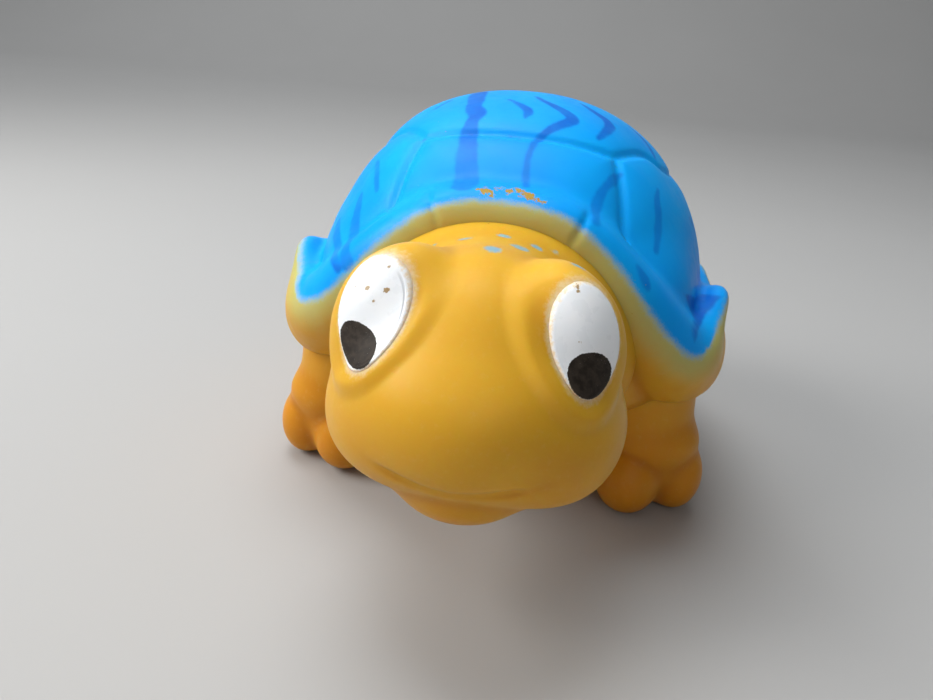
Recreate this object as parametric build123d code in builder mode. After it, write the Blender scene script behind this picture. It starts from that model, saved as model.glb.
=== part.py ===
from build123d import *
import os

# Soft vinyl squeaky turtle, millimetres.
# +Z up, head towards -Y, the turtle's own left side towards +X.
# Origin: centre of the bounding box's footprint, soles on z = 0.
# The hollow body is one soft moulding in real life; it is split here into its
# zones (crown, flank, margin, lip, belly, legs, tail, neck, head), which meet
# face to face where the form, the colour or the flexing of the skin changes.

# ---------------------------------------------------------------- dimensions
wall = 2.0                 # thickness of the vinyl skin

shell_y = 13.5             # centre of the shell along its length
shell_z = 32.0             # height of the shell ellipsoid's long axis
shell_len = 41.5           # half length of the shell ellipsoid
shell_rad = 38.6           # radius of the shell ellipsoid about its long axis

belly_z0 = 9.0             # underside of the belly
belly_z1 = 27.0            # belly meets margin
belly_rx = 33.0
belly_ry = 38.0
belly_round = 7.0          # rounding of the belly's lower edge

margin_z1 = 40.0           # margin meets flank
margin_rx = 41.0
margin_ry = 45.5
margin_round = 2.8         # rounding of the margin roll
margin_hole_rx = 31.0
margin_hole_ry = 36.0

crown_z0 = 60.0            # flank meets crown

head_y = -40.0             # centre of the head sphere
head_z = 35.0
head_r = 20.0
head_back_y = -30.0        # plane where the head meets the neck
neck_r = 17.3              # outer radius of the neck tube
neck_in_y = -17.0          # neck's inner end, inside the shell

lip_r = 22.0               # outer radius of the arch over the neck
lip_front_y = -25.0
lip_round = 2.5

eye_relief = 0.8           # eye white stands proud of the head
pupil_relief = 0.3         # pupil stands proud of the eye white
eye_rx, eye_ry = 7.2, 9.4
pupil_rx, pupil_ry = 3.0, 3.7

front_foot_x, front_foot_y = 30.6, -5.5   # centres of the left-hand soles
rear_foot_x, rear_foot_y = 29.4, 37.0
leg_top_x = 26.5           # where a leg meets the margin's underside
front_top_y, rear_top_y = -4.0, 35.0
leg_foot_rx, leg_foot_ry = 9.2, 11.0
leg_top_rx, leg_top_ry = 8.0, 9.0
leg_round = 3.5            # rounding of the sole's edge
leg_turn = 24              # splay of the legs about z, degrees

tail_tip_y = 60.0
tail_r0 = 6.0
tail_r1 = 2.2
tail_z = 19.0

hole_r = 7.5               # squeaker hole in the belly
hole_y = 15.0
cup_flange_r = 9.5
cup_flange_t = 1.2
cup_lock_r = 8.6
cup_lock_t = 1.2
cup_body_r = 7.5
cup_bore_r = 6.0
cup_len = 11.0             # from the belly's underside up
vent_r = 1.6

reed_len = 8.0
reed_w = 3.6
reed_t = 0.15

os.makedirs("parts", exist_ok=True)

# Plane of the shell's long axis: local x runs along world +Y, local y up.
shell_plane = Plane(origin=(0, shell_y, shell_z), x_dir=(0, 1, 0), z_dir=(1, 0, 0))
shell_axis = Axis((0, shell_y, shell_z), (0, 1, 0))

# ---------------------------------------------------------------- tool solids
# Outer and inner ellipsoid of the shell.
with BuildPart() as shell_outer:
    with BuildSketch(shell_plane):
        with BuildLine():
            EllipticalCenterArc((0, 0), shell_len, shell_rad, start_angle=0, arc_size=180)
            Line((-shell_len, 0), (shell_len, 0))
        make_face()
    revolve(axis=shell_axis)

with BuildPart() as shell_inner:
    with BuildSketch(shell_plane):
        with BuildLine():
            EllipticalCenterArc((0, 0), shell_len - wall, shell_rad - wall, start_angle=0, arc_size=180)
            Line((-(shell_len - wall), 0), (shell_len - wall, 0))
        make_face()
    revolve(axis=shell_axis)

# The neck's passage through the front of the shell, margin and belly.
with BuildPart() as neck_window:
    with BuildSketch(Plane(origin=(0, neck_in_y + 12, head_z), x_dir=(-1, 0, 0), z_dir=(0, -1, 0))):
        Circle(neck_r)
    extrude(amount=40)

# ---------------------------------------------------------------- shell crown
with BuildPart() as shell_crown:
    add(shell_outer.part)
    add(shell_inner.part, mode=Mode.SUBTRACT)
    split(bisect_by=Plane.XY.offset(crown_z0), keep=Keep.TOP)
shell_crown.part.label = "shell_crown"
export_step(shell_crown.part, "parts/shell_crown.step")

# ---------------------------------------------------------------- shell flank
with BuildPart() as shell_flank:
    add(shell_outer.part)
    add(shell_inner.part, mode=Mode.SUBTRACT)
    split(bisect_by=Plane.XY.offset(crown_z0), keep=Keep.BOTTOM)
    split(bisect_by=Plane.XY.offset(margin_z1), keep=Keep.TOP)
    add(neck_window.part, mode=Mode.SUBTRACT)
shell_flank.part.label = "shell_flank"
export_step(shell_flank.part, "parts/shell_flank.step")

# ---------------------------------------------------------------- shell margin
# The thick rolled rim: a channel open towards the inside.
with BuildPart() as shell_margin:
    with BuildSketch(Plane.XY.offset(belly_z1)):
        with Locations((0, shell_y)):
            Ellipse(margin_rx, margin_ry)
    extrude(amount=margin_z1 - belly_z1)
    fillet(shell_margin.edges().group_by(Axis.Z)[0], margin_round)
    fillet(shell_margin.edges().group_by(Axis.Z)[-1], margin_round)
    with BuildSketch(Plane.XY.offset(belly_z1)):
        with Locations((0, shell_y)):
            Ellipse(margin_hole_rx, margin_hole_ry)
    extrude(amount=margin_z1 - belly_z1, mode=Mode.SUBTRACT)
    with BuildSketch(Plane.XY.offset(belly_z1 + wall)):
        with Locations((0, shell_y)):
            Ellipse(margin_rx - wall, margin_ry - wall)
    extrude(amount=margin_z1 - belly_z1 - 2 * wall, mode=Mode.SUBTRACT)
    add(neck_window.part, mode=Mode.SUBTRACT)
shell_margin.part.label = "shell_margin"
export_step(shell_margin.part, "parts/shell_margin.step")

# ---------------------------------------------------------------- shell lip
# The rolled arch of the shell over the neck.
with BuildPart() as shell_lip:
    with BuildSketch(Plane(origin=(0, lip_front_y, head_z), x_dir=(1, 0, 0), z_dir=(0, -1, 0))):
        Circle(lip_r)
    extrude(amount=-20)
    fillet(shell_lip.edges().group_by(Axis.Y)[0], lip_round)
    with BuildSketch(Plane(origin=(0, lip_front_y, head_z), x_dir=(1, 0, 0), z_dir=(0, -1, 0))):
        Circle(neck_r)
    extrude(amount=-20, mode=Mode.SUBTRACT)
    split(bisect_by=Plane.XY.offset(margin_z1), keep=Keep.TOP)
    add(shell_outer.part, mode=Mode.SUBTRACT)
shell_lip.part.label = "shell_lip"
export_step(shell_lip.part, "parts/shell_lip.step")

# ---------------------------------------------------------------- belly, outer
with BuildPart() as belly_outer:
    with BuildSketch(Plane.XY.offset(belly_z0)):
        with Locations((0, shell_y)):
            Ellipse(belly_rx, belly_ry)
    extrude(amount=belly_z1 - belly_z0)
    fillet(belly_outer.edges().group_by(Axis.Z)[0], belly_round)

with BuildPart() as belly_inner:
    with BuildSketch(Plane.XY.offset(belly_z0 + wall)):
        with Locations((0, shell_y)):
            Ellipse(belly_rx - wall, belly_ry - wall)
    extrude(amount=belly_z1 - belly_z0)
    fillet(belly_inner.edges().group_by(Axis.Z)[0], belly_round - wall)

# ---------------------------------------------------------------- front legs
with BuildPart() as front_leg_cavity:
    with BuildSketch(Plane.XY.offset(wall)):
        with Locations(Location((front_foot_x, front_foot_y, 0), (0, 0, leg_turn))):
            Ellipse(leg_foot_rx - wall, leg_foot_ry - wall)
    with BuildSketch(Plane.XY.offset(belly_z1)):
        with Locations(Location((leg_top_x, front_top_y, 0), (0, 0, leg_turn))):
            Ellipse(leg_top_rx - wall, leg_top_ry - wall)
    loft(ruled=True)

with BuildPart() as front_left_leg:
    with BuildSketch(Plane.XY):
        with Locations(Location((front_foot_x, front_foot_y, 0), (0, 0, leg_turn))):
            Ellipse(leg_foot_rx, leg_foot_ry)
    with BuildSketch(Plane.XY.offset(belly_z1)):
        with Locations(Location((leg_top_x, front_top_y, 0), (0, 0, leg_turn))):
            Ellipse(leg_top_rx, leg_top_ry)
    loft(ruled=True)
    fillet(front_left_leg.edges().group_by(Axis.Z)[0], leg_round)
    add(front_leg_cavity.part, mode=Mode.SUBTRACT)
    add(belly_outer.part, mode=Mode.SUBTRACT)
front_left_leg.part.label = "front_left_leg"
export_step(front_left_leg.part, "parts/front_left_leg.step")

with BuildPart() as front_right_leg:
    mirror(front_left_leg.part, about=Plane.YZ)
front_right_leg.part.label = "front_right_leg"
export_step(front_right_leg.part, "parts/front_right_leg.step")

# ---------------------------------------------------------------- rear legs
with BuildPart() as rear_leg_cavity:
    with BuildSketch(Plane.XY.offset(wall)):
        with Locations(Location((rear_foot_x, rear_foot_y, 0), (0, 0, -leg_turn))):
            Ellipse(leg_foot_rx - wall, leg_foot_ry - wall)
    with BuildSketch(Plane.XY.offset(belly_z1)):
        with Locations(Location((leg_top_x, rear_top_y, 0), (0, 0, -leg_turn))):
            Ellipse(leg_top_rx - wall, leg_top_ry - wall)
    loft(ruled=True)

with BuildPart() as rear_left_leg:
    with BuildSketch(Plane.XY):
        with Locations(Location((rear_foot_x, rear_foot_y, 0), (0, 0, -leg_turn))):
            Ellipse(leg_foot_rx, leg_foot_ry)
    with BuildSketch(Plane.XY.offset(belly_z1)):
        with Locations(Location((leg_top_x, rear_top_y, 0), (0, 0, -leg_turn))):
            Ellipse(leg_top_rx, leg_top_ry)
    loft(ruled=True)
    fillet(rear_left_leg.edges().group_by(Axis.Z)[0], leg_round)
    add(rear_leg_cavity.part, mode=Mode.SUBTRACT)
    add(belly_outer.part, mode=Mode.SUBTRACT)
rear_left_leg.part.label = "rear_left_leg"
export_step(rear_left_leg.part, "parts/rear_left_leg.step")

with BuildPart() as rear_right_leg:
    mirror(rear_left_leg.part, about=Plane.YZ)
rear_right_leg.part.label = "rear_right_leg"
export_step(rear_right_leg.part, "parts/rear_right_leg.step")

# ---------------------------------------------------------------- belly
# A tub, open to the legs and the neck, with the squeaker hole in its floor.
with BuildPart() as belly:
    add(belly_outer.part)
    add(belly_inner.part, mode=Mode.SUBTRACT)
    with Locations((0, hole_y, belly_z0)):
        Cylinder(hole_r, 3 * wall, mode=Mode.SUBTRACT)
    add(neck_window.part, mode=Mode.SUBTRACT)
    add(front_leg_cavity.part, mode=Mode.SUBTRACT)
    add(rear_leg_cavity.part, mode=Mode.SUBTRACT)
    mirror(front_leg_cavity.part, about=Plane.YZ, mode=Mode.SUBTRACT)
    mirror(rear_leg_cavity.part, about=Plane.YZ, mode=Mode.SUBTRACT)
belly.part.label = "belly"
export_step(belly.part, "parts/belly.step")

# ---------------------------------------------------------------- tail
tail_plane = Plane(origin=(0, shell_y + 20, tail_z), x_dir=(0, 1, 0), z_dir=(1, 0, 0))
tail_end = tail_tip_y - shell_y - 20
with BuildPart() as tail:
    with BuildSketch(tail_plane):
        with BuildLine():
            Polyline((tail_end - tail_r1, tail_r1), (0, tail_r0 + 4), (0, 0), (tail_end, 0))
            RadiusArc((tail_end, 0), (tail_end - tail_r1, tail_r1), -tail_r1)
        make_face()
    revolve(axis=Axis((0, shell_y, tail_z), (0, 1, 0)))
    split(bisect_by=Plane.XY.offset(belly_z1), keep=Keep.BOTTOM)
    add(belly_outer.part, mode=Mode.SUBTRACT)
tail.part.label = "tail"
export_step(tail.part, "parts/tail.step")

# ---------------------------------------------------------------- neck
with BuildPart() as neck:
    with BuildSketch(Plane(origin=(0, head_back_y, head_z), x_dir=(-1, 0, 0), z_dir=(0, 1, 0))):
        Circle(neck_r)
        Circle(neck_r - wall, mode=Mode.SUBTRACT)
    extrude(amount=neck_in_y - head_back_y)
neck.part.label = "neck"
export_step(neck.part, "parts/neck.step")

# ---------------------------------------------------------------- head
# Hollow ball, open to the neck: revolved about its front-to-back axis.
head_back = head_back_y - head_y
head_in_r = head_r - wall
head_out_edge = (head_r**2 - head_back**2) ** 0.5
head_in_edge = (head_in_r**2 - head_back**2) ** 0.5
with BuildPart() as head:
    with BuildSketch(Plane(origin=(0, head_y, head_z), x_dir=(0, 1, 0), z_dir=(1, 0, 0))):
        with BuildLine():
            RadiusArc((-head_r, 0), (0, head_r), head_r)
            RadiusArc((0, head_r), (head_back, head_out_edge), head_r)
            Line((head_back, head_out_edge), (head_back, head_in_edge))
            RadiusArc((0, head_in_r), (head_back, head_in_edge), head_in_r)
            RadiusArc((-head_in_r, 0), (0, head_in_r), head_in_r)
            Line((-head_in_r, 0), (-head_r, 0))
        make_face()
    revolve(axis=Axis((0, head_y, head_z), (0, 1, 0)))
head.part.label = "head"
export_step(head.part, "parts/head.step")

# ---------------------------------------------------------------- eyes
# Each eye is a raised oval cap on the head, its pupil a thinner cap on it.
eye_dir = (0.70, -0.48, 0.53)
pupil_dir = (0.73, -0.56, 0.39)
for side_name, side in (("left", 1), ("right", -1)):
    eye_plane = Plane(origin=(0, head_y, head_z), x_dir=(side * 0.56, 0.82, 0),
                      z_dir=(side * eye_dir[0], eye_dir[1], eye_dir[2]))
    pupil_plane = Plane(origin=(0, head_y, head_z), x_dir=(side * 0.56, 0.82, 0),
                        z_dir=(side * pupil_dir[0], pupil_dir[1], pupil_dir[2]))
    with BuildPart() as eye:
        with BuildSketch(eye_plane.offset(head_r * 0.5)):
            Ellipse(eye_rx, eye_ry)
        extrude(amount=head_r)
        with Locations((0, head_y, head_z)):
            Sphere(head_r + eye_relief, mode=Mode.INTERSECT)
            Sphere(head_r, mode=Mode.SUBTRACT)
    eye.part.label = f"{side_name}_eye_white"
    export_step(eye.part, f"parts/{side_name}_eye_white.step")
    with BuildPart() as pupil:
        with BuildSketch(pupil_plane.offset(head_r * 0.5)):
            Ellipse(pupil_rx, pupil_ry)
        extrude(amount=head_r)
        with Locations((0, head_y, head_z)):
            Sphere(head_r + eye_relief + pupil_relief, mode=Mode.INTERSECT)
            Sphere(head_r + eye_relief, mode=Mode.SUBTRACT)
    pupil.part.label = f"{side_name}_pupil"
    export_step(pupil.part, f"parts/{side_name}_pupil.step")

# ---------------------------------------------------------------- squeaker
# Rigid cup, snapped through the belly hole between an outer flange and a lock
# bead; a vent in its outer floor lets the air through.
cup_z0 = belly_z0 - cup_flange_t
cup_top = belly_z0 + cup_len
with BuildPart() as squeaker_cup:
    with Locations((0, hole_y, cup_z0)):
        Cylinder(cup_flange_r, cup_flange_t, align=(Align.CENTER, Align.CENTER, Align.MIN))
        Cylinder(cup_body_r, cup_top - cup_z0, align=(Align.CENTER, Align.CENTER, Align.MIN))
    with Locations((0, hole_y, belly_z0 + wall)):
        Cylinder(cup_lock_r, cup_lock_t, align=(Align.CENTER, Align.CENTER, Align.MIN))
    fillet(squeaker_cup.edges().group_by(Axis.Z)[0], 0.5)
    with Locations((0, hole_y, cup_z0 + 1.6)):
        Cylinder(cup_bore_r, 40, align=(Align.CENTER, Align.CENTER, Align.MIN), mode=Mode.SUBTRACT)
    with Locations((0, hole_y, cup_z0)):
        Cylinder(vent_r, 5, mode=Mode.SUBTRACT)
squeaker_cup.part.label = "squeaker_cup"
export_step(squeaker_cup.part, "parts/squeaker_cup.step")

# Cap with four air holes, dropped into the inner end of the cup's bore.
cap_t = 1.4
with BuildPart() as squeaker_cap:
    with Locations((0, hole_y, cup_top - cap_t)):
        Cylinder(cup_bore_r, cap_t, align=(Align.CENTER, Align.CENTER, Align.MIN))
        with PolarLocations(3.4, 4, start_angle=45):
            Cylinder(1.2, 6, mode=Mode.SUBTRACT)
    with Locations((0, hole_y, cup_top)):
        Cylinder(cup_body_r, 0.8, align=(Align.CENTER, Align.CENTER, Align.MIN))
        with PolarLocations(3.4, 4, start_angle=45):
            Cylinder(1.2, 6, mode=Mode.SUBTRACT)
squeaker_cap.part.label = "squeaker_cap"
export_step(squeaker_cap.part, "parts/squeaker_cap.step")

# Reed base: a disc that closes the bore, with a slotted upstand that the reed
# beats against.
base_z0 = cup_z0 + 1.6
base_t = 1.2
slot_w = 2.6
slot_len = 6.2
with BuildPart() as squeaker_reed_base:
    with Locations((0, hole_y, base_z0 + 1.0)):
        Cylinder(cup_bore_r, base_t, align=(Align.CENTER, Align.CENTER, Align.MIN))
    with Locations((0, hole_y, base_z0 + 1.0 + base_t)):
        Box(5.0, 9.4, 2.0, align=(Align.CENTER, Align.CENTER, Align.MIN))
    with Locations((0, hole_y - 0.9, base_z0)):
        Box(slot_w, slot_len, 12, mode=Mode.SUBTRACT)
squeaker_reed_base.part.label = "squeaker_reed_base"
export_step(squeaker_reed_base.part, "parts/squeaker_reed_base.step")

# Reed: a thin strip lying over the slot, held at its +Y end.
reed_z0 = base_z0 + 1.0 + base_t + 2.0
reed_root_y = hole_y + 2.6
with BuildPart() as squeaker_reed:
    with Locations((0, reed_root_y - 6.6, reed_z0)):
        Box(reed_w, reed_len - 1.4, reed_t, align=(Align.CENTER, Align.MIN, Align.MIN))
squeaker_reed.part.label = "squeaker_reed"
export_step(squeaker_reed.part, "parts/squeaker_reed.step")

# Clip that clamps the reed's tail onto the upstand.
with BuildPart() as squeaker_reed_clip:
    with Locations((0, reed_root_y, reed_z0)):
        Box(5.0, 2.1, 1.6, align=(Align.CENTER, Align.MIN, Align.MIN))
    fillet(squeaker_reed_clip.edges().filter_by(Axis.X).group_by(Axis.Z)[-1], 0.4)
squeaker_reed_clip.part.label = "squeaker_reed_clip"
export_step(squeaker_reed_clip.part, "parts/squeaker_reed_clip.step")

print("done")
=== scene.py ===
import time

import bpy
import numpy as np
from mathutils import Matrix, Vector


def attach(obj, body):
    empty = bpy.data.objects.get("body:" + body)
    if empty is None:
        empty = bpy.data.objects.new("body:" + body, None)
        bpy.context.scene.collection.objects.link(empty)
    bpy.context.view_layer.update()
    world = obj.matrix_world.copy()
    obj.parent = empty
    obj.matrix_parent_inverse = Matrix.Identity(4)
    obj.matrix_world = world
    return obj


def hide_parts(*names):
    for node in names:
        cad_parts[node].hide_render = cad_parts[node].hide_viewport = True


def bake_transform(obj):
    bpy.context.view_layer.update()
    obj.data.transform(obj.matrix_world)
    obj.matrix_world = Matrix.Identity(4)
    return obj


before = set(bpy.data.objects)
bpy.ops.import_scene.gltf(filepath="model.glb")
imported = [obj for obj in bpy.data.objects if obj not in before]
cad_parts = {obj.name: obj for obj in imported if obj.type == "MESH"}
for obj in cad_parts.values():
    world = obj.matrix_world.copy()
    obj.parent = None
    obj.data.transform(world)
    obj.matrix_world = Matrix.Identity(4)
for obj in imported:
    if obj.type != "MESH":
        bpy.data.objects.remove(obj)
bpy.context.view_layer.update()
MM = 0.001

# ------------------------------------------------------------------ shape kit
# Signed distance fields in millimetres. p is an (n, 3) array.


def smin(a, b, k):
    h = np.maximum(k - np.abs(a - b), 0.0) / k
    return np.minimum(a, b) - h * h * k * 0.25


def smax(a, b, k):
    return -smin(-a, -b, k)


def ell(p, c, r):
    q = p - np.asarray(c, np.float32)
    r = np.asarray(r, np.float32)
    k0 = np.sqrt(((q / r) ** 2).sum(1)) + 1e-6
    k1 = np.sqrt(((q / (r * r)) ** 2).sum(1)) + 1e-9
    return k0 * (k0 - 1.0) / k1


def rot(p, c, ax, deg):
    # p turned by -deg about the axis through c, so a solid turns by +deg
    t = np.radians(-deg)
    cs, sn = np.cos(t), np.sin(t)
    q = p - np.asarray(c, np.float32)
    o = q.copy()
    i, j = {"x": (1, 2), "y": (2, 0), "z": (0, 1)}[ax]
    o[:, i] = cs * q[:, i] - sn * q[:, j]
    o[:, j] = sn * q[:, i] + cs * q[:, j]
    return o + np.asarray(c, np.float32)


def seg(p, a, b):
    # distance to a segment and the position 0..1 along it
    a = np.asarray(a, np.float32)
    b = np.asarray(b, np.float32)
    ab = b - a
    t = np.clip(((p - a) @ ab) / (ab @ ab), 0, 1)
    return np.sqrt(((p - a - t[:, None] * ab) ** 2).sum(1)), t


def cone(p, a, b, ra, rb):
    d, t = seg(p, a, b)
    return d - (ra + (rb - ra) * t)


def catmull(pts, n):
    # points on a Catmull-Rom curve through pts (any number of columns)
    pts = np.asarray(pts, float)
    q = np.vstack([2 * pts[0] - pts[1], pts, 2 * pts[-1] - pts[-2]])
    out = []
    for i in range(1, len(q) - 2):
        p0, p1, p2, p3 = q[i - 1], q[i], q[i + 1], q[i + 2]
        for k in range(n):
            t = k / n
            out.append(0.5 * (2 * p1 + (p2 - p0) * t + (2 * p0 - 5 * p1 + 4 * p2 - p3) * t * t
                              + (3 * p1 - p0 - 3 * p2 + p3) * t ** 3))
    out.append(q[-2])
    return np.array(out)


def path_at(q, u):
    # position and derivative of the Catmull-Rom curve q (padded) at u
    k = np.clip(u.astype(np.int32), 0, len(q) - 4)
    t = (u - k)[:, None]
    p0, p1, p2, p3 = q[k], q[k + 1], q[k + 2], q[k + 3]
    a, b, c = 2 * p0 - 5 * p1 + 4 * p2 - p3, 3 * p1 - p0 - 3 * p2 + p3, p2 - p0
    return 0.5 * (2 * p1 + c * t + a * t * t + b * t ** 3), 0.5 * (c + 2 * a * t + 3 * b * t * t)


def tube(p, pts, n=4):
    # signed distance to a swept circle; the fourth column of pts is its radius
    pts = np.asarray(pts, np.float32)
    q = np.vstack([2 * pts[0] - pts[1], pts, 2 * pts[-1] - pts[-2]])
    m = len(pts) - 1
    us = np.linspace(0, m, m * n + 1).astype(np.float32)
    c = path_at(q, us)[0]
    best = np.full(len(p), 1e9, np.float32)
    u = np.zeros(len(p), np.float32)
    for i in range(len(us)):
        e = ((p - c[i, :3]) ** 2).sum(1)
        w = e < best
        best[w] = e[w]
        u[w] = us[i]
    for _ in range(4):
        x, dx = path_at(q, u)
        step = ((p - x[:, :3]) * dx[:, :3]).sum(1) / ((dx[:, :3] ** 2).sum(1) + 1e-6)
        u = np.clip(u + np.clip(step, -0.6 / n, 0.6 / n), 0, m)
    x, _ = path_at(q, u)
    return np.sqrt(((p - x[:, :3]) ** 2).sum(1)) - x[:, 3]


def sym(p):
    # fold to the +X side
    q = p.copy()
    q[:, 0] = np.abs(q[:, 0])
    return q


# ------------------------------------------------------------------ the shell
DOME_C = (0, 13.5, 31.5)
DOME_R = (36.6, 41.5, 38.8)

# rim roll: half path from the front centre round to the rear centre (x, y, z, r)
RIM = [
    (-6.0, -20.2, 54.0, 4.0),
    (6.0, -20.2, 54.0, 4.0),
    (13.0, -20.0, 50.8, 4.4),
    (20.0, -19.0, 44.0, 5.4),
    (26.0, -15.5, 36.0, 7.0),
    (30.2, -9.5, 31.0, 8.4),
    (32.0, -1.0, 31.2, 8.8),
    (32.3, 10.0, 30.5, 8.8),
    (31.5, 22.0, 30.0, 8.8),
    (28.6, 34.0, 30.0, 8.8),
    (21.6, 43.4, 30.0, 8.8),
    (11.0, 49.6, 30.0, 8.6),
    (0.0, 51.2, 30.0, 8.6),
    (-8.0, 50.6, 30.0, 8.6),
]

# crest of the brim, from the front corner round (x, y, z, r)
BRIM = [
    (27.0, -19.5, 35.4, 1.5),
    (33.0, -15.8, 33.0, 1.5),
    (36.6, -7.0, 38.4, 1.5),
    (38.2, 0.0, 40.2, 1.5),
    (37.9, 12.0, 36.2, 1.5),
    (37.6, 24.0, 38.0, 1.5),
    (34.0, 34.0, 35.0, 1.5),
    (27.3, 45.0, 37.0, 1.5),
    (14.0, 52.6, 34.4, 1.5),
    (0.0, 55.6, 36.4, 1.5),
    (-10.0, 54.0, 34.9, 1.5),
]

# seams of the shell (polylines on the dome, folded to +X)
DOME_N = 2.20
DOME_M = 2.12


def dome(q):
    # superellipsoid in cross-section, with a distance-like scale
    c = np.asarray(DOME_C, np.float32)
    r = np.asarray(DOME_R, np.float32)
    u = np.abs((q - c) / r) + 1e-5
    xz = (u[:, 0] ** DOME_N + u[:, 2] ** DOME_N) ** (1.0 / DOME_N)
    k0 = (xz ** DOME_M + u[:, 1] ** DOME_M) ** (1.0 / DOME_M) + 1e-6
    k1 = np.sqrt((((q - c) / (r * r)) ** 2).sum(1)) + 1e-9
    return k0 * (k0 - 1.0) / k1


def on_dome(pts, n=8):
    # a smooth line through pts, pressed onto the dome
    c = catmull(pts, n)
    o = np.asarray(DOME_C, float)
    for _ in range(3):
        u = np.abs((c - o) / np.asarray(DOME_R)) + 1e-5
        k = ((u[:, 0] ** DOME_N + u[:, 2] ** DOME_N) ** (DOME_M / DOME_N) + u[:, 1] ** DOME_M) ** (1.0 / DOME_M)
        c = o + (c - o) / k[:, None]
    return c


PLATE = on_dome([(-4, -8.4, 64.8), (4, -8.3, 64.8), (10, -7.5, 64.2), (15.8, -5.8, 62.6)])
PLATE_SIDE = on_dome([(15.8, -5.8, 62.6), (21.0, 1.8, 62.4), (25.4, 5.0, 60.2), (28.2, 14.2, 58.2), (25.2, 23.5, 60.2), (16.2, 31.0, 63.3)])
PLATE_REAR = on_dome([(16.2, 31.0, 63.3), (8, 34.0, 64.6), (-4, 34.6, 65.0)])
SEAM_F = on_dome([(15.8, -5.8, 62.6), (17.4, -11.0, 59.4), (19.0, -17.0, 54.5), (20.6, -22.0, 49.5), (21.5, -25.0, 45.0)])
SEAM_S = on_dome([(28.2, 14.2, 58.2), (32.6, 13.4, 53.0), (36.4, 13.2, 44.0), (37.5, 13.0, 36.0)])
SEAM_R = on_dome([(16.2, 31.0, 63.3), (20.5, 38.0, 57.0), (25.4, 45.0, 46.0), (27.5, 48.0, 36.0)])
SEAMS = [PLATE, PLATE_SIDE, PLATE_REAR, SEAM_F, SEAM_S, SEAM_R]
# fine creases across the lip, one each side
NOTCH = [[(-12.2, -20.0, 57.2), (-11.8, -20.9, 56.4), (-10.3, -23.8, 54.5), (-9.4, -24.6, 52.3)],
         [(12.8, -19.8, 57.2), (12.5, -20.8, 56.3), (11.7, -23.3, 54.7), (10.6, -24.5, 52.3)]]


def seam_distance(q):
    d = np.full(len(q), 1e3, np.float32)
    for c in SEAMS:
        for i in range(len(c) - 1):
            d = np.minimum(d, seg(q, c[i], c[i + 1])[0])
    return d


def shell_sdf(p):
    q = sym(p).astype(np.float32)
    # the right flank of the dome is a little flatter
    flat = 0.8 * step01((-18.0 - p[:, 0]) / 12.0) * step01((p[:, 2] - 43.0) / 9.0)
    d0 = smin(dome(q) + flat, ell(q, (18.6, -4.6, 39.6), (13.6, 16.6, 12.6)), 3.0)
    rim = tube(q, RIM)
    near = d0 < 6
    ds = np.full(len(q), 20.0, np.float32)
    if near.any():
        ds[near] = seam_distance(q[near])
    pillow = 0.6 * (1 - np.exp(-ds / 2.6)) - 0.85 * np.exp(-(ds / 0.66) ** 2)
    d = d0 - pillow + 0.35
    # flat ledge of the brim just outside the dome
    brim = tube(q, BRIM)
    rim = smin(rim, brim, 4.2)
    d = smin(d, rim, 1.6 + 1.8 * step01((24.0 - q[:, 0]) / 8.0))
    front = (q[:, 1] < -16.0) & (q[:, 0] < 16.0) & (np.abs(d) < 3.0)
    if front.any():
        e = np.minimum(poly_distance(p[front], np.array(NOTCH[0], np.float32)), poly_distance(p[front], np.array(NOTCH[1], np.float32)))
        d[front] = d[front] + 0.34 * np.exp(-(e / 0.55) ** 2)
    # closed underside
    d = smax(d, 22.0 - p[:, 2], 4.0)
    return d


# ------------------------------------------------------------------ the body
def belly_sdf(p):
    q = sym(p).astype(np.float32)
    d = ell(q, (0, 13.5, 26.0), (33.5, 38.5, 17.2))
    d = smax(d, 9.0 - p[:, 2], 5.0)
    # shoulders and haunches
    d = smin(d, ell(q, (23.0, -7.0, 29.0), (10.0, 9.0, 7.0)), 6.0)
    d = smin(d, ell(q, (24.0, 34.0, 25.0), (12.0, 12.0, 9.5)), 6.0)
    # chest under the neck
    d = smin(d, ell(q, (0, -15.5, 29.5), (18.5, 11.5, 16.5)), 5.0)
    return d


# ------------------------------------------------------------------ the head
EYE_C = (9.6, -42.6, 43.2)       # centre of an eyeball's ellipsoid
BALL_C = (1.3, 0.0, -0.2)        # the ball of the eye, in those axes
BALL_R = (7.4, 8.3, 11.2)
EYE_T = (38, -10, -10)           # yaw, tilt and roll of an eye


def eye_local(q, c, turn):
    # the eye's own axes: x across, y out of the head, z along its height
    o = rot(q, c, "z", turn[0])
    o = rot(o, c, "x", turn[1])
    return rot(o, c, "y", turn[2])


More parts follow.
